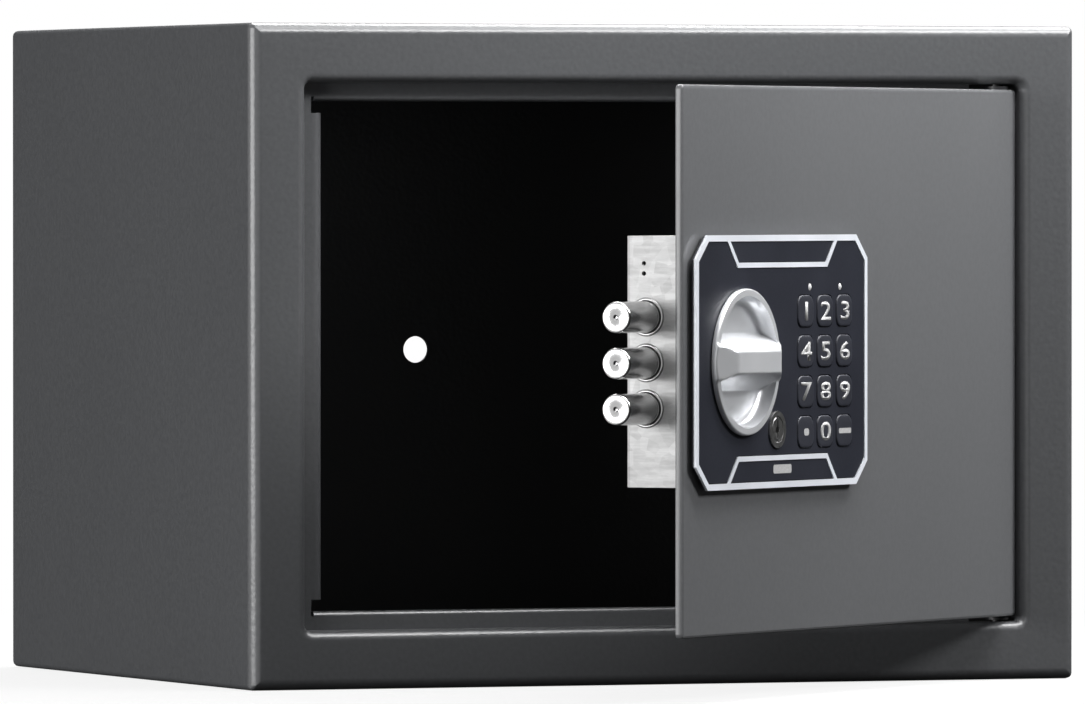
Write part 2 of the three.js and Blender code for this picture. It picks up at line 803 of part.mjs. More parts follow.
function crankArm() {
  const { front, back, hubRadius, armWaist, pinRadius, pinWall, pinBack } = crank;
  const hub = [knob.centre, lockHeight];
  const pin = [knob.centre - throwOffset, lockHeight + throwOffset];
  const flank = (radius, [s, z]) => {
    const offset = radius * Math.SQRT1_2;
    return [[s - offset, z - offset], [s + offset, z + offset]];
  };
  const [a, b] = flank(armWaist, hub);
  const [c, d] = flank(pinRadius + pinWall, pin);
  const body = join(
    doorRod(hubRadius, ...hub, [front, back], 32),
    doorSlab(doorOutline([a, b, d, c]), [front, back]),
    doorRod(pinRadius + pinWall, ...pin, [front, back], 24),
    doorRod(pinRadius, ...pin, [front, pinBack], 24),
  );
  return cut(body, doorRod(shaft.radius + gap, ...hub, [front - past, back + past]));
}

const boltHeights = [1, 0, -1].map((k) => lockHeight + k * bolts.pitch);

function bolt(z) {
  const { radius, tip, end, tipChamfer: c, spigotRadius, spigotEnd } = bolts;
  const profile = [[0, 0], [radius - c, 0], [radius, c], [radius, end - tip]];
  profile.push([spigotRadius, end - tip], [spigotRadius, spigotEnd - tip], [0, spigotEnd - tip]);
  return turned(profile, alongX, inDoor(tip, bolts.depth, z), 28);
}

// A plate with the crank's slot, a flange for the bolts and a tail with the solenoid's notch
function boltCarrier() {
  const { front, thickness, flangeStart, flangeThickness, plateEnd, low, high, tailEnd } = carrier;
  const face = [front, front + thickness];
  const through = [front - past, front + thickness + past];
  const w = carrier.slotHalfWidth;
  const pinPath = knob.centre - throwOffset;
  const slotEnds = [lockHeight + throwOffset - w, lockHeight + crank.armRadius + w];
  const slot = roundedRectangle([S(pinPath - w), S(pinPath + w)], slotEnds, carrier.slotCorner);
  const tailLow = low + carrier.tailRise;
  const notch = [solenoid.s - carrier.notchHalfWidth, solenoid.s + carrier.notchHalfWidth];
  const body = join(
    doorBox([flangeStart, plateEnd], face, [low, high]),
    doorBox([flangeStart, flangeStart + flangeThickness], [front, postEnd], [low, high]),
    doorBox([flangeStart, tailEnd], face, [tailLow, tailLow + carrier.tailHeight]),
  );
  const spigots = boltHeights.map((z) => {
    const start = inDoor(flangeStart - flangeThickness, bolts.depth, z);
    return rod(bolts.spigotRadius + gap, 3 * flangeThickness, alongX, start, 20);
  });
  return cut(
    body,
    doorSlab(slot, through),
    doorBox(notch, through, [low - past, tailLow + carrier.notchDepth]),
    ...spigots,
  );
}

function boltGuide() {
  const { s, thickness, foot, low, high, back, fit } = guide;
  const end = s + thickness;
  const front = lockCase.front;
  const wall = doorBox([s, end], [front, back], [low, high]);
  const base = doorBox([end - foot, end], [front, front + thickness], [low, high]);
  const holes = boltHeights.map((z) =>
    rod(bolts.radius + fit, 4 * thickness, alongX, inDoor(s - thickness, bolts.depth, z), 28),
  );
  return cut(join(wall, base), ...holes);
}

// The case's outline in plan, rounded where the sheet turns from its sides to its back
function casePlan(margin) {
  const s0 = S(lockCase.left + margin);
  const s1 = S(lockCase.right - margin);
  const back = V(lockCase.back - margin);
  const r = lockCase.bend - margin;
  const front = V(lockCase.front) - (margin > 0 ? past : 0);
  return outline([
    [s0, front],
    [s1, front],
    ...arc([s1 - r, back - r], r, 0, 90, 5),
    ...arc([s0 + r, back - r], r, 90, 180, 5),
  ]);
}

function lockCover() {
  const { left, low, high, sheet: t, back, bend, holeRadius } = lockCase;
  const shell = cut(prismZ(casePlan(0), low, high), prismZ(casePlan(t), low + t, high - t));
  const sideHole = (radius, v, z, segments) =>
    rod(radius, 4 * t, alongX, inDoor(left - t, v, z), segments);
  const boltHoles = boltHeights.map((z) => sideHole(holeRadius, bolts.depth, z, 28));
  const rearFace = [back - bend, back + past];
  const screwHoles = screwPlaces().map(([s, z]) => doorRod(screws.shankRadius + gap, s, z, rearFace, 16));
  return cut(
    shell,
    ...boltHoles,
    ...airHoles.heights.map((z) => sideHole(airHoles.radius, airHoles.v, z, 12)),
    ...screwHoles,
    doorBox([window.left, window.right], rearFace, [window.low, window.high]),
    doorRod(reset.radius + gap, reset.s, reset.z, rearFace, 20),
  );
}

// Solenoid that blocks the bolt work, and the key cylinder that frees it by hand

function solenoidFrame() {
  const { s, v, width, depth, low, high, sheet: t, plungerRadius } = solenoid;
  const outer = doorBox([s - width / 2, s + width / 2], [v - depth / 2, v + depth / 2], [low, high]);
  const inner = doorBox(
    [s - width / 2 + t, s + width / 2 - t],
    [v - depth, v + depth],
    [low + t, high - t],
  );
  return cut(outer, inner, rod(plungerRadius + gap, 4 * t, alongZ, inDoor(s, v, high - 2 * t), 20));
}

function solenoidCoil() {
  const { s, v, low, high, sheet: t, coilRadius, plungerRadius } = solenoid;
  const height = high - low - 2 * (t + gap);
  const body = rod(coilRadius, height, alongZ, inDoor(s, v, low + t + gap), 24);
  return cut(body, rod(plungerRadius + gap, 2 * height, alongZ, inDoor(s, v, low + 2 * t), 20));
}

function solenoidPlunger() {
  const { s, v, high, plungerRadius, plungerDip, collar } = solenoid;
  const start = high - plungerDip;
  const pin = rod(plungerRadius, carrier.low - 1 - start, alongZ, inDoor(s, v, start), 20);
  const plate = doorBox(
    collar.s.map((offset) => s + offset),
    collar.v.map((offset) => v + offset),
    [high + gap, high + gap + collar.thickness],
  );
  return join(pin, plate);
}

function overrideHousing() {
  const { s, z, radius, nutRadius, nutThickness, plugRadius, plugFit, front, back } = override;
  const seat = door.thickness + gap;
  const nut = doorSlab(doorOutline(hexagon([s, z], nutRadius)), [seat, seat + nutThickness]);
  const barrel = doorRod(radius, s, z, [front, back], 32);
  const bore = doorRod(plugRadius + plugFit, s, z, [front - past, back + past], 24);
  return cut(join(barrel, nut), bore);
}

function overridePlug() {
  const { s, z, plugRadius: r, plugEdge: e, plugSunk, stemRadius, stemEnd, keyway } = override;
  const face = override.front + plugSunk;
  const back = override.back + e;
  const profile = [[0, face], [r - e, face], [r, face + e], [r, back]];
  profile.push([stemRadius, back], [stemRadius, stemEnd], [0, stemEnd]);
  const { halfWidth, halfHeight, wardHalfWidth, wardHalfHeight, depth } = keyway;
  const slots = [[halfWidth, halfHeight], [wardHalfWidth, wardHalfHeight]].map(([w, h]) =>
    doorBox([s - w, s + w], [face - past, face + depth], [z - h, z + h]),
  );
  return cut(turned(profile, alongY, inDoor(s, 0, z), 24), ...slots);
}

function overrideCam() {
  const { s, z, stemRadius, cam } = override;
  const { v, hubRadius, armHalfWidth: w, armLength } = cam;
  const body = join(doorRod(hubRadius, s, z, v, 24), doorBox([s - w, s + w], v, [z, z + armLength]));
  return cut(body, doorRod(stemRadius + gap, s, z, [v[0] - past, v[1] + past], 20));
}

// Electronics, battery and reset button

// The board carries its buzzer, its plug socket and the switch behind the reset button
function controlBoard() {
  const face = lockCase.front + gap;
  const { s, z, thickness, buzzer, plug, button } = board;
  const top = face + thickness / 2;
  return join(
    doorBox(s, [face, face + thickness], z),
    doorRod(buzzer.radius, buzzer.s, buzzer.z, [top, face + buzzer.height], 24),
    doorBox(plug.s, [top, face + plug.height], plug.z),
    doorBox(
      [reset.s - button.half, reset.s + button.half],
      [top, face + button.height],
      [reset.z - button.half, reset.z + button.half],
    ),
  );
}

const cellHeights = [-1.5, -0.5, 0.5, 1.5].map((k) => battery.middle + k * battery.pitch);

function batteryHolder() {
  const { cellStart, cellLength, middle: z, pitch, v, wall, holderFront, cellRadius } = battery;
  const back = lockCase.back - 2 * gap - lockCase.sheet;
  const cells = [cellStart - gap, cellStart + cellLength + gap];
  const reach = 2 * pitch + 1;
  const mouth = cellRadius + gap;
  const tray = doorBox([cells[0] - wall, cells[1] + wall], [holderFront, back], [z - reach, z + reach]);
  const troughs = cellHeights.map((height) =>
    rod(mouth, cells[1] - cells[0], alongX, inDoor(cells[0], v, height), 24),
  );
  const opening = doorBox(cells, [v, back + past], [cellHeights[0] - mouth, cellHeights[3] + mouth]);
  return cut(tray, opening, ...troughs);
}

function batteryCell(z) {
  const { cellRadius: r, cellLength, cellStart, cellEdge, capRadius, capHeight, v } = battery;
  const can = cellLength - capHeight;
  const profile = [[0, 0], [r - cellEdge, 0], [r, cellEdge], [r, can - cellEdge], [r - cellEdge, can]];
  profile.push([capRadius, can], [capRadius, cellLength], [0, cellLength]);
  return turned(profile, alongX, inDoor(cellStart, v, z), 16);
}

// The cover slides under the case on two rails, and its ridges give the thumb a hold
function batteryCover() {
  const { left, right, low, high, corner, thickness, edge, rail, ridge } = cover;
  const face = lockCase.back + gap;
  const outer = roundedRectangle([S(left), S(right)], [low, high], corner);
  const plate = doorSlab(outer, [face, face + thickness], edge);
  const railLow = [window.low + rail.inset, window.high - rail.inset - rail.width];
  const rails = railLow.map((z) =>
    doorBox(rail.s, [face - rail.depth, face + thickness / 2], [z, z + rail.width]),
  );
  const ridges = Array.from({ length: ridge.count }, (_, i) => {
    const s = ridge.first + i * ridge.pitch;
    const span = [face + thickness / 2, face + thickness + ridge.height];
    return doorBox([s, s + ridge.width], span, ridge.z);
  });
  return join(plate, ...rails, ...ridges);
}

function resetButton() {
  const { s, z, radius, stemRadius, stemStart, headLength, proud, edge } = reset;
  const back = lockCase.back + proud;
  const head = back - headLength;
  const profile = [[0, stemStart], [stemRadius, stemStart], [stemRadius, head], [radius, head]];
  profile.push([radius, back - edge], [radius - edge, back], [0, back]);
  return turned(profile, alongY, inDoor(s, 0, z), 20);
}

// Assembly

const safe = new THREE.Group();
const doorGroup = new THREE.Group();
doorGroup.position.copy(pivot);
doorGroup.rotation.z = THREE.MathUtils.degToRad(door.open);
safe.add(doorGroup);

function add(parent, name, geometry, material) {
  geometry.computeVertexNormals();
  const mesh = new THREE.Mesh(geometry, material);
  mesh.name = name;
  parent.add(mesh);
}

add(safe, 'cabinet_wrap', cabinetWrap(), paint());
add(safe, 'front_frame', frontFrame(), paint());
add(safe, 'back_panel', backPanel(), paint());
for (const [place, up] of [['upper', 1], ['lower', -1]]) {
  add(safe, `hinge_pin_${place}`, hingePin(up), blackSteel());
  add(doorGroup, `hinge_knuckle_${place}`, hingeKnuckle(up), doorPaint());
  add(doorGroup, `hinge_washer_${place}`, hingeWasher(up), blackPlastic());
}

add(doorGroup, 'door_plate', doorPlate(), doorPaint());
add(doorGroup, 'escutcheon', escutcheon(), darkPlastic());
add(doorGroup, 'escutcheon_trim', escutcheonTrim(), silver());
add(doorGroup, 'keypad_board', keypadBoard(), blackPlastic());
for (const place of keyPlaces()) add(doorGroup, place.name, keyCap(place), darkPlastic());
lampPlaces().forEach((s, i) => add(doorGroup, ['led_left', 'led_right'][i], lamp(s), silver()));

add(doorGroup, 'knob', knobBody(), chrome());
add(doorGroup, 'spindle', spindle(), steel());
add(doorGroup, 'crank', crankArm(), steel());
add(doorGroup, 'bolt_carrier', boltCarrier(), zinc());
add(doorGroup, 'bolt_guide', boltGuide(), zinc());
['upper', 'middle', 'lower'].forEach((place, i) => {
  add(doorGroup, `bolt_${place}`, bolt(boltHeights[i]), chrome());
});

add(doorGroup, 'lock_case', lockCover(), zinc());
screwPlaces().forEach(([s, z], i) => add(doorGroup, `case_screw_${i + 1}`, caseScrew(s, z), steel()));
add(doorGroup, 'solenoid_frame', solenoidFrame(), zinc());
add(doorGroup, 'solenoid_coil', solenoidCoil(), finish(0x9a4a22, 0.4, 0.5));
add(doorGroup, 'solenoid_plunger', solenoidPlunger(), steel());
add(doorGroup, 'override_housing', overrideHousing(), steel());
add(doorGroup, 'override_plug', overridePlug(), steel());
add(doorGroup, 'override_cam', overrideCam(), steel());
add(doorGroup, 'control_board', controlBoard(), finish(0x1f5a3a, 0.5, 0.1));
add(doorGroup, 'battery_holder', batteryHolder(), blackPlastic());
cellHeights.forEach((z, i) => add(doorGroup, `battery_cell_${i + 1}`, batteryCell(z), zinc()));
add(doorGroup, 'battery_cover', batteryCover(), blackPlastic());
add(doorGroup, 'reset_button', resetButton(), finish(0xb02a20, 0.4, 0));

export default safe;
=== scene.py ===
"""Looks for a small steel safe with a keypad door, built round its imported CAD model.

Blender works in metres here, in the CAD's own frame: the doorway faces -Y and the floor is Z = 0.
The door is stored swung open, so its pieces are placed through DOOR, whose axes are the door's own:
x from the hinge (the free edge is at negative x), y inwards through the plate, z up.
"""
import json
import math

import bmesh
import bpy
from mathutils import Matrix, Vector


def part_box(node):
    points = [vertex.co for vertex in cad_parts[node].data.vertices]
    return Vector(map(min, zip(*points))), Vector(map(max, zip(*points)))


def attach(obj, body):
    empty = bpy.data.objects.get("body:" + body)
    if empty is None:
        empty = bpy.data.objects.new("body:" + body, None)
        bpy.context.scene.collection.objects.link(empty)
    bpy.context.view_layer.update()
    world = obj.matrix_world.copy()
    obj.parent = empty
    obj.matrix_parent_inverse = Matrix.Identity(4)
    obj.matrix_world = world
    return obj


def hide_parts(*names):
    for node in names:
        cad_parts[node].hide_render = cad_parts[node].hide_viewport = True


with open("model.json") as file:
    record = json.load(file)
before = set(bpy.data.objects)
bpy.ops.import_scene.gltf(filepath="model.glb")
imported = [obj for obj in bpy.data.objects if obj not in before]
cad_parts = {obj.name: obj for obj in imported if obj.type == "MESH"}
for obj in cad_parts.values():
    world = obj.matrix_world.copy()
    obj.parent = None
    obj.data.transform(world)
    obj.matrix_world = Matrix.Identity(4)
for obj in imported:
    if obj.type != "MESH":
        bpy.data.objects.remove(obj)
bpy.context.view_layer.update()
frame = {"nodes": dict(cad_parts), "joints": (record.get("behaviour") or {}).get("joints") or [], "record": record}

MM = 0.001
DOOR_SWING = next(joint for joint in frame["joints"] if joint["name"] == "door_swing")
HINGE = Vector(DOOR_SWING["pos_m"])
OPEN_ANGLE = -math.radians(DOOR_SWING["range_deg"][0])
DOOR = Matrix.Translation((HINGE.x, HINGE.y, 0)) @ Matrix.Rotation(OPEN_ANGLE, 4, "Z")
INTO_DOOR = DOOR.inverted()

KEY_NAMES = ["1", "2", "3", "4", "5", "6", "7", "8", "9", "dot", "0", "dash"]
BOLT_PLACES = ["upper", "middle", "lower"]


def door_box(node):
    """The lowest and highest corner of a CAD node along the door's own axes."""
    points = [INTO_DOOR @ vertex.co for vertex in frame["nodes"][node].data.vertices]
    low = Vector(min(point[axis] for point in points) for axis in range(3))
    high = Vector(max(point[axis] for point in points) for axis in range(3))
    return low, high


# Colours


def linear(level):
    """A display level from 0 to 255 as scene light."""
    share = level / 255
    return share / 12.92 if share <= 0.04045 else ((share + 0.055) / 1.055) ** 2.4


def colour(red, green=None, blue=None):
    """A colour from display levels, or a grey from one level."""
    green = red if green is None else green
    blue = red if blue is None else blue
    return (linear(red), linear(green), linear(blue), 1)


def cool(level, blue):
    """A grey with a little more blue than red."""
    return colour(level - blue / 2, level, level + blue)


WHITE = (1, 1, 1, 1)

# Shader nodes, and the numbers of those sockets that share a name with others

RANGE_GREY_SOCKETS = slice(0, 5)
RANGE_COLOUR_SOCKETS = slice(6, 11)
MIX_COLOUR_SOCKETS = slice(6, 8)
MIX_COLOUR_RESULT = 2


class Nodes:
    """Adds shader nodes to a material, and links them."""

    def __init__(self, name):
        self.material = bpy.data.materials.new(name)
        self.material.use_nodes = True
        self.tree = self.material.node_tree
        self.shader = self.tree.nodes["Principled BSDF"]
        self.place = self.add("ShaderNodeTexCoord").outputs["Object"]

    def add(self, kind, **settings):
        node = self.tree.nodes.new(kind)
        for name, value in settings.items():
            setattr(node, name, value)
        return node

    def link(self, source, target):
        self.tree.links.new(source, target)

    def connect(self, **sources):
        """Links sources to the inputs of the material's own shader."""
        for name, source in sources.items():
            self.link(source, self.shader.inputs[name.replace("_", " ")])

    def set(self, **values):
        """Gives plain values to the inputs of the material's own shader."""
        for name, value in values.items():
            self.shader.inputs[name.replace("_", " ")].default_value = value

    def noise(self, scale, detail=3, roughness=0.5, stretch=None):
        """A noise value from 0 to 1. The scale is in features per metre."""
        texture = self.add("ShaderNodeTexNoise")
        texture.inputs["Scale"].default_value = scale
        texture.inputs["Detail"].default_value = detail
        texture.inputs["Roughness"].default_value = roughness
        place = self.place
        if stretch:
            mapping = self.add("ShaderNodeMapping")
            mapping.inputs["Scale"].default_value = stretch
            self.link(place, mapping.inputs["Vector"])
            place = mapping.outputs["Vector"]
        self.link(place, texture.inputs["Vector"])
        return texture.outputs["Fac"]

    def ramp(self, value, low, high, start=0.3, end=0.7):
        """Spreads the values from start to end over a range of greys or colours."""
        node = self.add("ShaderNodeMapRange")
        if isinstance(low, tuple):
            node.data_type = "FLOAT_VECTOR"
            source, *limits = node.inputs[RANGE_COLOUR_SOCKETS]
            bounds = ((start,) * 3, (end,) * 3, low[:3], high[:3])
            result = node.outputs["Vector"]
        else:
            source, *limits = node.inputs[RANGE_GREY_SOCKETS]
            bounds = (start, end, low, high)
            result = node.outputs["Result"]
        for limit, bound in zip(limits, bounds):
            limit.default_value = bound
        self.link(value, source)
        return result

    def bump(self, height, depth):
        """Relief of a depth in metres."""
        node = self.add("ShaderNodeBump")
        node.inputs["Distance"].default_value = depth
        self.link(height, node.inputs["Height"])
        return node.outputs["Normal"]

    def fill(self, sockets, values):
        """Sets or links each socket, as its value is a plain one or another node's output."""
        for socket, value in zip(sockets, values):
            if isinstance(value, (int, float, tuple)):
                socket.default_value = value
            else:
                self.link(value, socket)

    def mix(self, factor, first, second):
        node = self.add("ShaderNodeMix", data_type="RGBA")
        self.link(factor, node.inputs["Factor"])
        self.fill(node.inputs[MIX_COLOUR_SOCKETS], (first, second))
        return node.outputs[MIX_COLOUR_RESULT]

    def math(self, operation, *values):
        node = self.add("ShaderNodeMath", operation=operation)
        self.fill(node.inputs, values)
        return node.outputs[0]


# Materials

PAINT_BLUE = 2
LIP_DEPTH = 5.5 * MM  # how far behind the front the doorway's lips keep the outer paint
HALF_SHEET = 0.8 * MM  # about half the steel sheet, to tell its inner face from its outer one


def hammered_paint(name, level, relief, specular=0.5, hollow_shade_level=None):
    """Powder coat with a fine orange peel. The cabinet's hollow may take a darker level: painted shade for its
    dark inside.
    """
    m = Nodes(name)
    peel = m.noise(560, detail=1)
    cloud = m.noise(9, detail=2)
    grain = m.noise(2400, detail=2)
    dark, light = cool(level - 3, PAINT_BLUE), cool(level + 4, PAINT_BLUE)
    shade = m.ramp(peel, dark, light, start=0.35, end=0.65)
    broad = m.ramp(cloud, cool(level - 2, PAINT_BLUE), cool(level + 2, PAINT_BLUE))
    body = m.mix(m.ramp(grain, 0.25, 0.6), shade, broad)
    # Painted shade: the hollow's paint gives way to a near-black level
    if hollow_shade_level is not None:
        body = m.mix(hollow_shade_mask(m), body, colour(hollow_shade_level))
    m.connect(
        Base_Color=body,
        Roughness=m.ramp(peel, 0.28, 0.32),
        Normal=m.bump(m.noise(700, detail=0), relief),
    )
    m.set(Specular_IOR_Level=specular)
    return m.material


def hollow_shade_mask(m):
    """Mask of the painted shade: 1 in the cabinet's hollow, 0 on its outer faces and the doorway's lips."""
    low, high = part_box("cabinet_wrap")
    split = m.add("ShaderNodeSeparateXYZ")
    m.link(m.place, split.inputs[0])
    limits = (
        (low.x + HALF_SHEET, high.x - HALF_SHEET),
        (low.y + LIP_DEPTH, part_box("back_panel")[1].y - HALF_SHEET),
        (low.z + HALF_SHEET, high.z - HALF_SHEET),
    )
    tests = []
    for value, (lowest, highest) in zip(split.outputs, limits):
        tests.append(m.math("GREATER_THAN", value, lowest))
        tests.append(m.math("LESS_THAN", value, highest))
    mask = tests[0]
    for test in tests[1:]:
        mask = m.math("MULTIPLY", mask, test)
    return mask


def moulded_plastic(name, red, green, blue, roughness=0.42):
    m = Nodes(name)
    texture = m.noise(2600, detail=2)
    cloud = m.noise(40, detail=2)
    dark = colour(red - 4, green - 4, blue - 4)
    light = colour(red + 4, green + 4, blue + 4)
    m.connect(
        Base_Color=m.ramp(cloud, dark, light),
        Roughness=m.ramp(texture, roughness - 0.06, roughness + 0.06),
        Normal=m.bump(texture, 0.03 * MM),
    )
    m.set(Specular_IOR_Level=0.4)
    return m.material


def metal(name, level, roughness, blue=0, metallic=1.0, scale=900, spread=0.2, relief=0.01 * MM):
    """Bare or plated metal with fine marks from its making, which spread its roughness."""
    m = Nodes(name)
    marks = m.noise(scale, roughness=0.6)
    cloud = m.noise(35)
    m.connect(
        Base_Color=m.ramp(cloud, cool(level - 9, blue), cool(level + 6, blue)),
        Roughness=m.ramp(marks, roughness * (1 - spread), roughness * (1 + spread)),
        Normal=m.bump(marks, relief),
    )
    m.set(Metallic=metallic)
    return m.material


def galvanised(name, level):
    """Zinc coated sheet with a soft spangle and faint scuffs."""
    m = Nodes(name)
    cells = m.add("ShaderNodeTexVoronoi")
    cells.inputs["Scale"].default_value = 260
    m.link(m.place, cells.inputs["Vector"])
    scuffs = m.noise(240, detail=4, roughness=0.65, stretch=(0.35, 0.35, 2.4))
    grey = m.add("ShaderNodeSeparateColor")
    m.link(cells.outputs["Color"], grey.inputs[0])
    spangle = m.ramp(grey.outputs[0], colour(level - 18), colour(level + 10), start=0, end=1)
    worn = m.ramp(scuffs, colour(level - 34), colour(level + 6), start=0.38, end=0.6)
    m.connect(
        Base_Color=m.mix(m.ramp(scuffs, 0.2, 0.6), spangle, worn),
        Roughness=m.ramp(scuffs, 0.62, 0.5),
        Normal=m.bump(scuffs, 0.02 * MM),
    )
    m.set(Metallic=0.2, Specular_IOR_Level=0.3)
    return m.material


def printed(name, level):
    """Pale ink or a pale lens."""
    m = Nodes(name)
    speck = m.noise(1500, detail=2)
    m.connect(
        Base_Color=m.ramp(speck, colour(level - 14), colour(level + 6)),
        Roughness=m.ramp(speck, 0.35, 0.5),
    )
    return m.material


def circuit_board(name):
    """Green lacquer over thin copper tracks."""
    m = Nodes(name)
    tracks = m.add("ShaderNodeTexBrick")
    tracks.inputs["Scale"].default_value = 300
    tracks.inputs["Mortar Size"].default_value = 0.05
    tracks.inputs["Color1"].default_value = colour(24, 92, 58)
    tracks.inputs["Color2"].default_value = colour(28, 100, 62)
    tracks.inputs["Mortar"].default_value = colour(52, 128, 84)
    m.link(m.place, tracks.inputs["Vector"])
    m.connect(Base_Color=tracks.outputs["Color"], Roughness=m.ramp(m.noise(400), 0.25, 0.4))
    return m.material


def wound_wire(name):
    """Enamelled copper laid in close turns round the coil's upright axis."""
    m = Nodes(name)
    wave = m.add("ShaderNodeTexWave", bands_direction="Z")
    wave.inputs["Scale"].default_value = 700
    wave.inputs["Distortion"].default_value = 0.4
    m.link(m.place, wave.inputs["Vector"])
    turns = wave.outputs["Fac"]
    m.connect(
        Base_Color=m.ramp(turns, colour(110, 52, 28), colour(190, 104, 60), start=0, end=1),
        Normal=m.bump(turns, 0.1 * MM),
    )
    m.set(Metallic=0.6, Roughness=0.35)
    return m.material


PALE_INK = printed("pale_ink", 188)

SLOT_MATERIALS = {
    # The hollow's level 20 is painted shade, standing in for the dark inside of the cabinet
    "cabinet_paint": hammered_paint("cabinet_paint", 85, 0.05 * MM, 0.62, hollow_shade_level=20),
    "door_paint": hammered_paint("door_paint", 104, 0.01 * MM),
    "panel_plastic": moulded_plastic("panel_plastic", 36, 38, 47),
    "key_plastic": moulded_plastic("key_plastic", 38, 40, 49, 0.5),
    "black_plastic": moulded_plastic("black_plastic", 30, 30, 32),
    "red_plastic": moulded_plastic("red_plastic", 168, 34, 28, 0.3),
    "cell_sleeve": moulded_plastic("cell_sleeve", 70, 74, 80, 0.3),
    "black_steel": metal("black_steel", 40, 0.4),
    "silver_line": metal("silver_line", 238, 0.36, blue=7, metallic=0.1),
    "satin_chrome": metal(
        "satin_chrome", 225, 0.28, blue=3, metallic=0.4, spread=0.02, relief=0
    ),
    "bolt_chrome": metal("bolt_chrome", 180, 0.18, scale=1200),
    "plain_steel": metal("plain_steel", 178, 0.34),
    "galvanised_sheet": galvanised("zinc_sheet", 210),
    "lamp_lens": printed("lamp_lens", 226),
    "circuit_board": circuit_board("board_lacquer"),
    "copper_winding": wound_wire("copper_wire"),
}

# Finish of the CAD nodes: the record says each node's slot, and round faces are shaded smooth

MERGE_DISTANCE = 0.002 * MM
SMOOTH_BELOW_DEGREES = 33
SHARP_FROM_DEGREES = 40

# Width of the bevel on the edges of some pieces
SOFTENED_EDGES = {
    "escutcheon_trim": 0.35 * MM,
    "escutcheon": 0.2 * MM,
    "front_frame": 0.2 * MM,
    "lock_case": 0.5 * MM,
}


def round_face_group():
    """Nodes that join doubled vertices and shade every edge that turns less than the limit."""
    group = bpy.data.node_groups.new("round_faces", "GeometryNodeTree")
    group.interface.new_socket("Geometry", in_out="INPUT", socket_type="NodeSocketGeometry")
    group.interface.new_socket("Geometry", in_out="OUTPUT", socket_type="NodeSocketGeometry")
    nodes = group.nodes
    start = nodes.new("NodeGroupInput").outputs[0]
    forget = nodes.new("GeometryNodeRemoveAttribute")
    forget.inputs["Name"].default_value = "custom_normal"
    merge = nodes.new("GeometryNodeMergeByDistance")
    merge.inputs["Distance"].default_value = MERGE_DISTANCE
    angle = nodes.new("GeometryNodeInputMeshEdgeAngle")
    sharp = nodes.new("FunctionNodeCompare")
    sharp.operation = "GREATER_THAN"
    sharp.inputs[1].default_value = math.radians(SMOOTH_BELOW_DEGREES)
    faces = nodes.new("GeometryNodeSetShadeSmooth")
    edges = nodes.new("GeometryNodeSetShadeSmooth")
    edges.domain = "EDGE"
    edges.inputs["Shade Smooth"].default_value = False
    end = nodes.new("NodeGroupOutput").inputs[0]
    for source, target in (
        (start, forget.inputs["Geometry"]),
        (forget.outputs["Geometry"], merge.inputs["Geometry"]),
        (merge.outputs["Geometry"], faces.inputs["Geometry"]),
        (faces.outputs["Geometry"], edges.inputs["Geometry"]),
        (angle.outputs["Unsigned Angle"], sharp.inputs[0]),
        (sharp.outputs[0], edges.inputs["Selection"]),
        (edges.outputs["Geometry"], end),
    ):
        group.links.new(source, target)
    return group


def soften(node, width):
    """A small bevel on a piece's sharp edges, which catches the light."""
    bevel = node.modifiers.new("soft_edges", "BEVEL")
    bevel.width = width
    bevel.segments = 2
    bevel.limit_method = "ANGLE"
    bevel.angle_limit = math.radians(SHARP_FROM_DEGREES)


def finish_cad_nodes():
    slots = {row["node"]: row["material_slot"] for row in frame["record"]["subparts"]}
    group = round_face_group()
    for name, node in frame["nodes"].items():
        node.data.materials.clear()
        node.data.materials.append(SLOT_MATERIALS[slots[name]])
        if name in SOFTENED_EDGES:
            soften(node, SOFTENED_EDGES[name])
        rounding = node.modifiers.new("round_faces", "NODES")
        rounding.node_group = group
        weighting = node.modifiers.new("even_shading", "WEIGHTED_NORMAL")
        weighting.keep_sharp = True


finish_cad_nodes()

# New pieces


def mesh_object(name, mesh, slot, body, place=DOOR, material=None):
    """A new piece, in the door's axes and its slot's material unless others are given."""
    piece = bpy.data.objects.new(name, mesh)
    bpy.context.scene.collection.objects.link(piece)
    mesh.materials.clear()
    mesh.materials.append(material or SLOT_MATERIALS[slot])
    piece.matrix_world = place
    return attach(piece, body)


def loops_mesh(name, loops, close_ends=True):
    """A smooth skin over loops of equal length, with its open ends capped."""
    mesh = bmesh.new()
    rings = [[mesh.verts.new(point) for point in loop] for loop in loops]
    count = len(rings[0])
    for lower, upper in zip(rings, rings[1:]):
        for i in range(count):
            j = (i + 1) % count
            mesh.faces.new((lower[i], lower[j], upper[j], upper[i]))
    if close_ends:
        mesh.faces.new(reversed(rings[0]))
        mesh.faces.new(rings[-1])
    bmesh.ops.recalc_face_normals(mesh, faces=mesh.faces)
    for face in mesh.faces:
        face.smooth = True
    data = bpy.data.meshes.new(name)
    mesh.to_mesh(data)
    mesh.free()
    return data


def sharpen(mesh):
    """Marks the edges that turn more than the limit as sharp."""
    work = bmesh.new()
    work.from_mesh(mesh)
    for edge in work.edges:
        edge.smooth = edge.calc_face_angle(math.pi) < math.radians(SHARP_FROM_DEGREES)
    work.to_mesh(mesh)
    work.free()
    return mesh


def full_turn(count):
    """Evenly spaced angles round a circle."""
    return [2 * math.pi * i / count for i in range(count)]


# Turn knob: its face is one height over the ring plane, with a soft dish and a raised grip

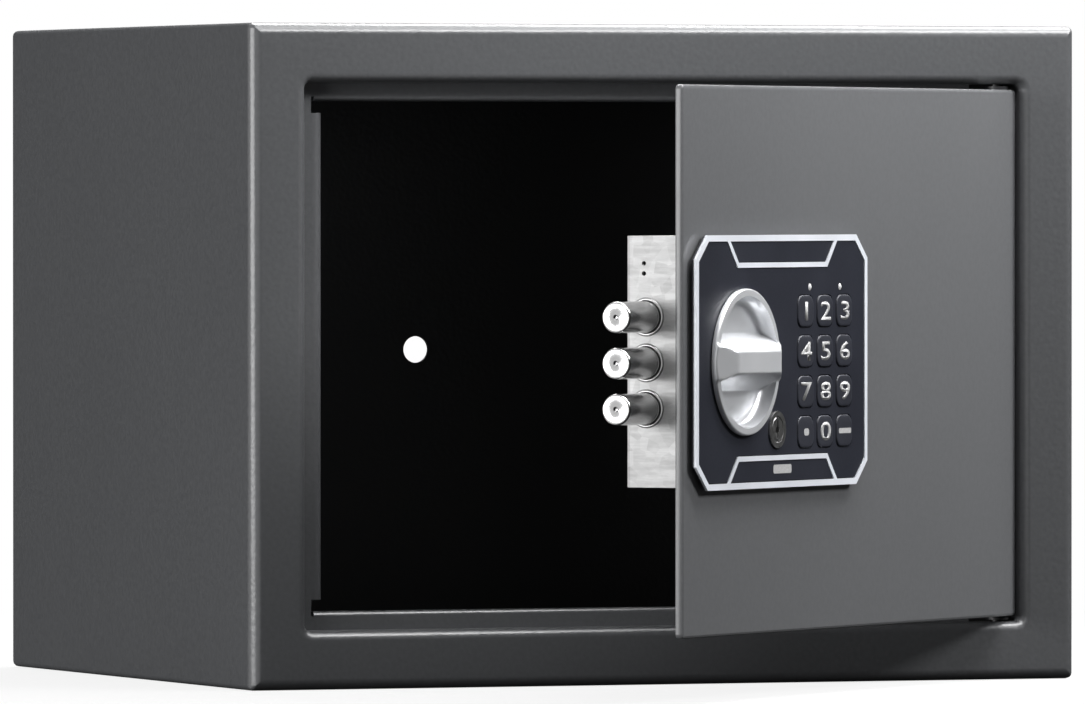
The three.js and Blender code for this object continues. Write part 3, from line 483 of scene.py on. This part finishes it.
KNOB_LOW, KNOB_HIGH = door_box("knob")
KNOB_CENTRE = (KNOB_LOW + KNOB_HIGH) / 2
KNOB_RADIUS = (KNOB_HIGH.x - KNOB_LOW.x) / 2
KNOB_ANGLES = full_turn(240)
GRIP_RISE = 4.5 * MM
GRIP_HALF_LENGTH = 16.2 * MM
GRIP_HALF_WIDTH = 3.7 * MM
GRIP_BASE_HALF_WIDTH = 9.5 * MM
RING_PLANE = KNOB_LOW.y + GRIP_RISE
RING_BACK = RING_PLANE + 1.7 * MM
RING_WIDTH = 2.5 * MM
RIM_ROUNDING = 0.7 * MM
DISH_RADIUS = KNOB_RADIUS - RING_WIDTH
DISH_DEPTH = 5 * MM
DISH_FILLET = 3.5 * MM
DISH_WALL_POWER = 12  # the higher it is, the later and steeper the wall above the fillet rises
KNOB_BLEND = 0.5 * MM  # of the soft joints between grip, dish and ring
CUP_RADIUS = 23.1 * MM
CUP_BACK = door_box("door_plate")[0].y + 2 * MM
HUB_RADIUS = 8 * MM
DISH_STEPS = 60  # radii from the knob's middle to the ring
STEEP_START = 57  # the step from which they lie closer together
STEEP_STEP = 0.25
RING_STEPS = 16


def soft_max(a, b):
    """The greater of two heights, with a rounded joint where they meet."""
    share = max(KNOB_BLEND - abs(a - b), 0) / KNOB_BLEND
    return max(a, b) + share * share * KNOB_BLEND / 4


def soft_min(a, b):
    return -soft_max(-a, -b)


def dish_height(radius):
    """0 on the ring, and DISH_DEPTH lower inside it, with a filleted foot."""
    if radius >= DISH_RADIUS:
        return 0
    reach = min((radius - (DISH_RADIUS - DISH_FILLET)) / DISH_FILLET, 1)
    if reach <= 0:
        return -DISH_DEPTH
    fillet = DISH_FILLET * (1 - math.sqrt(1 - reach * reach))
    wall = (DISH_DEPTH - DISH_FILLET) * reach**DISH_WALL_POWER
    return -DISH_DEPTH + fillet + wall


def grip_height(x, z):
    """A bar with sloping flanks and ends and a flat top at GRIP_RISE."""
    flank_slope = (GRIP_RISE + DISH_DEPTH) / (GRIP_BASE_HALF_WIDTH - GRIP_HALF_WIDTH)
    end_slope = GRIP_RISE / (KNOB_RADIUS - GRIP_HALF_LENGTH)
    flank = GRIP_RISE - (abs(z) - GRIP_HALF_WIDTH) * flank_slope
    end = GRIP_RISE - (abs(x) - GRIP_HALF_LENGTH) * end_slope
    return soft_min(GRIP_RISE, soft_min(flank, end))


def knob_height(radius, angle):
    """Height of the knob's face over the ring plane."""
    grip = grip_height(radius * math.cos(angle), radius * math.sin(angle))
    height = soft_max(dish_height(radius), grip)
    into_rounding = RIM_ROUNDING - (KNOB_RADIUS - radius)
    if into_rounding > 0:
        height -= RIM_ROUNDING - math.sqrt(max(RIM_ROUNDING**2 - into_rounding**2, 0))
    return min(height, GRIP_RISE)


def knob_radii():
    """From the knob's middle to its rim, closer together where the dish turns up."""
    steep_count = int((DISH_STEPS - STEEP_START) / STEEP_STEP)
    steep = [STEEP_START + STEEP_STEP * i for i in range(steep_count)]
    dish = [DISH_RADIUS * step / DISH_STEPS for step in [*range(1, STEEP_START), *steep]]
    rim = [DISH_RADIUS + RING_WIDTH * i / RING_STEPS for i in range(RING_STEPS + 1)]
    return dish + rim


def knob_loop(radius, depth=None):
    """Points round the knob's axis, on its face or else at one depth."""
    return [
        (
            KNOB_CENTRE.x + radius * math.cos(angle),
            RING_PLANE - knob_height(radius, angle) if depth is None else depth,
            KNOB_CENTRE.z + radius * math.sin(angle),
        )
        for angle in KNOB_ANGLES
    ]


def add_knob():
    back_profile = (
        (KNOB_RADIUS, RING_BACK),
        (CUP_RADIUS, RING_BACK),
        (CUP_RADIUS, CUP_BACK),
        (HUB_RADIUS, CUP_BACK),
        (HUB_RADIUS, KNOB_HIGH.y),
    )
    face = [knob_loop(radius) for radius in knob_radii()]
    back = [knob_loop(radius, depth) for radius, depth in back_profile]
    mesh = sharpen(loops_mesh("turn_knob", face + back))
    knob = mesh_object("turn_knob", mesh, "satin_chrome", "knob")
    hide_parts("knob")


add_knob()

# Key figures and the panel's bar: pale print, a hair above the face that they lie on

FIGURE_HEIGHT = 6.4 * MM
FIGURE_STRETCH = 1.95
FIGURE_BOLDNESS = 0.014  # outward offset of the outline, as a share of the text size
FIGURE_RESOLUTION = 6
FIGURE_RISE = 0.03 * MM
WELD_DISTANCE = 0.001 * MM
CORNER_STEP_DEGREES = 15

# Width, height and corner radius of the bars
DOT_BAR = (3.8 * MM, 2.4 * MM, 1 * MM)
DASH_BAR = (9.4 * MM, 1.8 * MM, 0.5 * MM)
PANEL_BAR = (14 * MM, 3 * MM, 0.8 * MM)
PANEL_BAR_HEIGHT = 6 * MM  # of its middle, over the panel's lower edge


def figure_mesh(text):
    """A digit as a thin mesh, centred, lying in the XZ plane and facing -Y."""
    curve = bpy.data.curves.new("figure", "FONT")
    curve.body = text
    curve.offset = FIGURE_BOLDNESS
    curve.resolution_u = FIGURE_RESOLUTION
    source = bpy.data.objects.new("figure", curve)
    bpy.context.scene.collection.objects.link(source)
    bpy.context.view_layer.update()
    mesh = bpy.data.meshes.new_from_object(source)
    bpy.data.objects.remove(source)
    work = bmesh.new()
    work.from_mesh(mesh)
    xs = [vertex.co.x for vertex in work.verts]
    ys = [vertex.co.y for vertex in work.verts]
    scale = FIGURE_HEIGHT / (max(ys) - min(ys))
    middle = Vector(((min(xs) + max(xs)) / 2, (min(ys) + max(ys)) / 2))
    for vertex in work.verts:
        across = (vertex.co.x - middle.x) * scale * FIGURE_STRETCH
        vertex.co = (across, 0, (vertex.co.y - middle.y) * scale)
    return thickened(work, mesh)


def thickened(work, mesh):
    """Gives a flat print a hair of thickness and writes it to the mesh."""
    bmesh.ops.remove_doubles(work, verts=work.verts, dist=WELD_DISTANCE)
    bmesh.ops.recalc_face_normals(work, faces=work.faces)
    made = bmesh.ops.extrude_face_region(work, geom=work.faces[:])
    for item in made["geom"]:
        if isinstance(item, bmesh.types.BMVert):
            item.co.y -= FIGURE_RISE
    bmesh.ops.recalc_face_normals(work, faces=work.faces)
    work.to_mesh(mesh)
    work.free()
    return mesh


def bar_mesh(name, width, height, corner):
    """A small bar with rounded corners, in the XZ plane."""
    work = bmesh.new()
    points = []
    for quarter in range(4):
        sign_x = 1 if quarter in (0, 3) else -1
        sign_z = 1 if quarter < 2 else -1
        for turn in range(0, 91, CORNER_STEP_DEGREES):
            angle = math.radians(90 * quarter + turn)
            x = sign_x * (width / 2 - corner) + corner * math.cos(angle)
            z = sign_z * (height / 2 - corner) + corner * math.sin(angle)
            points.append((x, 0, z))
    work.faces.new([work.verts.new(point) for point in points])
    return thickened(work, bpy.data.meshes.new(name))


def add_figures():
    for name in KEY_NAMES:
        low, high = door_box(f"key_{name}")
        if name == "dot":
            mesh = bar_mesh("figure_dot", *DOT_BAR)
        elif name == "dash":
            mesh = bar_mesh("figure_dash", *DASH_BAR)
        else:
            mesh = figure_mesh(name)
        mesh.name = f"figure_{name}"
        face = Matrix.Translation(((low.x + high.x) / 2, low.y, (low.z + high.z) / 2))
        mesh_object(mesh.name, mesh, "silver_line", f"key_{name}", DOOR @ face, PALE_INK)


def add_panel_bar():
    low, high = door_box("escutcheon")
    mesh = bar_mesh("panel_bar", *PANEL_BAR)
    step = Matrix.Translation(((low.x + high.x) / 2, low.y, low.z + PANEL_BAR_HEIGHT))
    mesh_object("panel_bar", mesh, "silver_line", "door", DOOR @ step, PALE_INK)


add_figures()
add_panel_bar()

# Bolts: turned bars with a drilled centre, a rounded tip and a thinner end in the carrier

BOLT_ANGLES = full_turn(64)
TIP_ROUNDING = 0.8 * MM
SPIGOT_LENGTH = 3.7 * MM
SPIGOT_SHARE = 0.6  # of the bolt's radius
CENTRE_HOLE = ((0.27, 0.7), (0.9, 0.15), (1.125, 0))  # radius and depth, in mm


def turned_mesh(name, profile, centre, close_ends=True):
    """A skin round an axis along x, from a profile of (radius, x) pairs."""
    loops = [
        [
            (x, centre.y + radius * math.cos(angle), centre.z + radius * math.sin(angle))
            for angle in BOLT_ANGLES
        ]
        for radius, x in profile
    ]
    return loops_mesh(name, loops, close_ends)


def bolt_mesh(name):
    low, high = door_box(name)
    radius = (high.z - low.z) / 2
    tip, end = low.x, high.x
    profile = [(reach * MM, tip + depth * MM) for reach, depth in CENTRE_HOLE]
    for turn in range(0, 91, CORNER_STEP_DEGREES):
        angle = math.radians(turn)
        reach = radius - TIP_ROUNDING + TIP_ROUNDING * math.sin(angle)
        profile.append((reach, tip + TIP_ROUNDING * (1 - math.cos(angle))))
    shoulder = end - SPIGOT_LENGTH
    spigot = SPIGOT_SHARE * radius
    profile += [(radius, shoulder), (spigot, shoulder), (spigot, end)]
    return sharpen(turned_mesh(name, profile, (low + high) / 2))


def add_bolts():
    for place in BOLT_PLACES:
        name = f"bolt_{place}"
        bolt = mesh_object(f"round_{name}", bolt_mesh(name), "bolt_chrome", "bolt_work")
        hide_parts(name)


add_bolts()

# Collars: the raised rims of the holes that the bolts slide through

BOLT_FIT = 0.15 * MM  # clearance of a bolt in its collar
COLLAR = ((0, 0.01), (0.1, 0.4), (0.4, 0.55), (0.8, 0.4), (1.1, 0.01))  # growth and rise, in mm


def collar_mesh(name, bolt):
    """A closed rim round a bolt, raised from the outer face of the lock case."""
    outer_face = door_box("lock_case")[0].x
    low, high = door_box(bolt)
    bore = (high.z - low.z) / 2 + BOLT_FIT
    profile = [(bore + growth * MM, outer_face - rise * MM) for growth, rise in COLLAR]
    profile.append(profile[0])
    return turned_mesh(name, profile, (low + high) / 2, close_ends=False)


def add_collars():
    for place in BOLT_PLACES:
        name = f"bolt_collar_{place}"
        mesh_object(name, collar_mesh(name, f"bolt_{place}"), "plain_steel", "door")


add_collars()

# Camera, fitted to the cabinet's corners in the photograph

CAMERA_PLACE = Vector((-1.6811, -4.2351, 0.1718))
CAMERA_TARGET = Vector((-0.04715, -0.125, 0.1162))
FOCAL_LENGTH_PIXELS = 12749
PHOTO_WIDTH_PIXELS = 1086
SENSOR_WIDTH = 36  # millimetres, as Blender counts it
FARTHEST_SEEN = 100


def facing(place, target):
    """The turn that makes a camera or lamp at a place look at its target."""
    return (Vector(target) - Vector(place)).to_track_quat("-Z", "Y").to_euler()


def add_camera():
    data = bpy.data.cameras.new("camera")
    data.sensor_width = SENSOR_WIDTH
    data.lens = FOCAL_LENGTH_PIXELS / PHOTO_WIDTH_PIXELS * SENSOR_WIDTH
    data.clip_end = FARTHEST_SEEN
    camera = bpy.data.objects.new("camera", data)
    camera.location = CAMERA_PLACE
    camera.rotation_euler = facing(CAMERA_PLACE, CAMERA_TARGET)
    bpy.context.scene.collection.objects.link(camera)
    bpy.context.scene.camera = camera


add_camera()

# Studio: a white world and floor, a dark screen for reflections, and soft lamps

WORLD_STRENGTH = 0.035
FLOOR_HALF_WIDTH = 40
FLOOR_DROP = 0.2 * MM
FLOOR_BOUNCE_LEVEL = 34
FLOOR_GLOW = (0.86, 1)  # its share near the safe and far away
FLOOR_GLOW_REACH = (0.25, 0.7)  # the distances between which the share grows
SCREEN_RADIUS = 2.4
SCREEN_HEIGHT = 1.5
SCREEN_DROP = 0.1 * MM
SCREEN_START_DEGREES = -102
SCREEN_STEP_DEGREES = 9
SCREEN_POINTS = 28


def add_softbox(name, place, target, size, watts, diffuse=True, glossy=True):
    """An area lamp that faces its target. It may light only the matt or only the glossy share."""
    data = bpy.data.lights.new(name, "AREA")
    data.shape = "RECTANGLE"
    data.size, data.size_y = size
    data.energy = watts
    lamp = bpy.data.objects.new(name, data)
    lamp.location = place
    lamp.rotation_euler = facing(place, target)
    lamp.visible_diffuse = diffuse
    lamp.visible_glossy = glossy
    bpy.context.scene.collection.objects.link(lamp)


def add_lamps():
    # A strip close above the front, whose light fades downwards
    add_softbox(
        "top_light",
        place=(0.2, -0.285, 0.46),
        target=(0.14, -0.12, 0.12),
        size=(0.7, 0.06),
        watts=2.5,
    )
    # Seen in reflections alone: the sheen on the bends, the knob and the silver line
    add_softbox(
        "top_card",
        place=(0.3, -0.45, 1.1),
        target=(0.05, -0.12, 0.1),
        size=(1.3, 0.8),
        watts=17,
        diffuse=False,
    )
    # From above and behind: the bright upper edge
    add_softbox(
        "rim_light",
        place=(0.37, 0.34, 1.03),
        target=(0, -0.12, 0.22),
        size=(1.2, 0.2),
        watts=20,
    )
    # The main light on the front and the open door
    add_softbox(
        "right_light",
        place=(1.45, -0.95, 1.15),
        target=(0, -0.2, 0.12),
        size=(0.5, 0.5),
        watts=27,
    )
    # The left side, with its sheen, and more of the same on its matt share alone
    add_softbox(
        "left_light",
        place=(-1.98, -0.5, 0.19),
        target=(-0.1, -0.2, 0.12),
        size=(1.5, 0.38),
        watts=20,
    )
    add_softbox(
        "left_fill",
        place=(-1.98, -0.5, 0.55),
        target=(-0.1, -0.2, 0.12),
        size=(1.5, 0.38),
        watts=15,
        glossy=False,
    )


def seen_rays(tree):
    """1 for camera, glossy and transmission rays, which see the white studio itself."""
    path = tree.nodes.new("ShaderNodeLightPath")
    total = path.outputs["Is Camera Ray"]
    for name in ("Is Glossy Ray", "Is Transmission Ray"):
        node = tree.nodes.new("ShaderNodeMath")
        node.operation = "MAXIMUM"
        tree.links.new(total, node.inputs[0])
        tree.links.new(path.outputs[name], node.inputs[1])
        total = node.outputs[0]
    return total


def light_world():
    world = bpy.data.worlds.new("studio")
    world.use_nodes = True
    bpy.context.scene.world = world
    tree = world.node_tree
    background = tree.nodes["Background"]
    background.inputs["Color"].default_value = WHITE
    level = tree.nodes.new("ShaderNodeMapRange")
    level.inputs["To Min"].default_value = WORLD_STRENGTH
    level.inputs["To Max"].default_value = 1
    tree.links.new(seen_rays(tree), level.inputs["Value"])
    tree.links.new(level.outputs["Result"], background.inputs["Strength"])


def floor_material():
    """A near white that glows for the rays that see it, and is dark for the matt light."""
    m = Nodes("studio_floor")
    seen = seen_rays(m.tree)
    tint = m.ramp(m.noise(3, detail=2), colour(240), colour(244))
    m.connect(Base_Color=m.mix(seen, colour(FLOOR_BOUNCE_LEVEL), tint))
    m.set(Roughness=0.9)
    glow = m.add("ShaderNodeEmission")
    glow.inputs["Color"].default_value = WHITE
    away = m.add("ShaderNodeVectorMath", operation="LENGTH")
    m.link(m.place, away.inputs[0])
    share = m.math("MULTIPLY", seen, m.ramp(away.outputs["Value"], *FLOOR_GLOW, *FLOOR_GLOW_REACH))
    both = m.add("ShaderNodeMixShader")
    m.fill(both.inputs, (share, m.shader.outputs[0], glow.outputs[0]))
    m.link(both.outputs[0], m.tree.nodes["Material Output"].inputs["Surface"])
    return m.material


def add_floor():
    """A wide pale floor that takes a soft shadow near the safe and ends in plain white."""
    half = FLOOR_HALF_WIDTH
    mesh = bpy.data.meshes.new("studio_floor")
    corners = [(-half, -half, 0), (half, -half, 0), (half, half, 0), (-half, half, 0)]
    mesh.from_pydata(corners, [], [(0, 1, 2, 3)])
    mesh.materials.append(floor_material())
    floor = bpy.data.objects.new("studio_floor", mesh)
    floor.location.z = -FLOOR_DROP
    bpy.context.scene.collection.objects.link(floor)


def screen_material():
    m = Nodes("dark_screen")
    m.connect(Base_Color=m.ramp(m.noise(3, detail=2), colour(34), colour(38)))
    m.set(Roughness=1.0, Specular_IOR_Level=0.0)
    return m.material


def add_dark_screen():
    """A dark floor and wall, open to the left and the left front, seen only in reflections."""
    count = SCREEN_POINTS
    angles = [math.radians(SCREEN_START_DEGREES + SCREEN_STEP_DEGREES * i) for i in range(count)]
    arc = [(SCREEN_RADIUS * math.cos(angle), SCREEN_RADIUS * math.sin(angle)) for angle in angles]
    points = [(x, y, z) for z in (-SCREEN_DROP, SCREEN_HEIGHT) for x, y in arc]
    points.append((*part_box("cabinet_wrap")[0].xy, -SCREEN_DROP))
    wall = [(k, k + 1, k + 1 + count, k + count) for k in range(count - 1)]
    mesh = bpy.data.meshes.new("dark_screen")
    mesh.from_pydata(points, [], [*wall, (*range(count), 2 * count)])
    mesh.materials.append(screen_material())
    screen = bpy.data.objects.new("dark_screen", mesh)
    bpy.context.scene.collection.objects.link(screen)
    screen.visible_camera = False
    screen.visible_diffuse = False
    screen.visible_shadow = False
    screen.visible_transmission = False


light_world()
add_floor()
add_dark_screen()
add_lamps()

bpy.context.scene.view_settings.view_transform = "Standard"
bpy.context.view_layer.update()
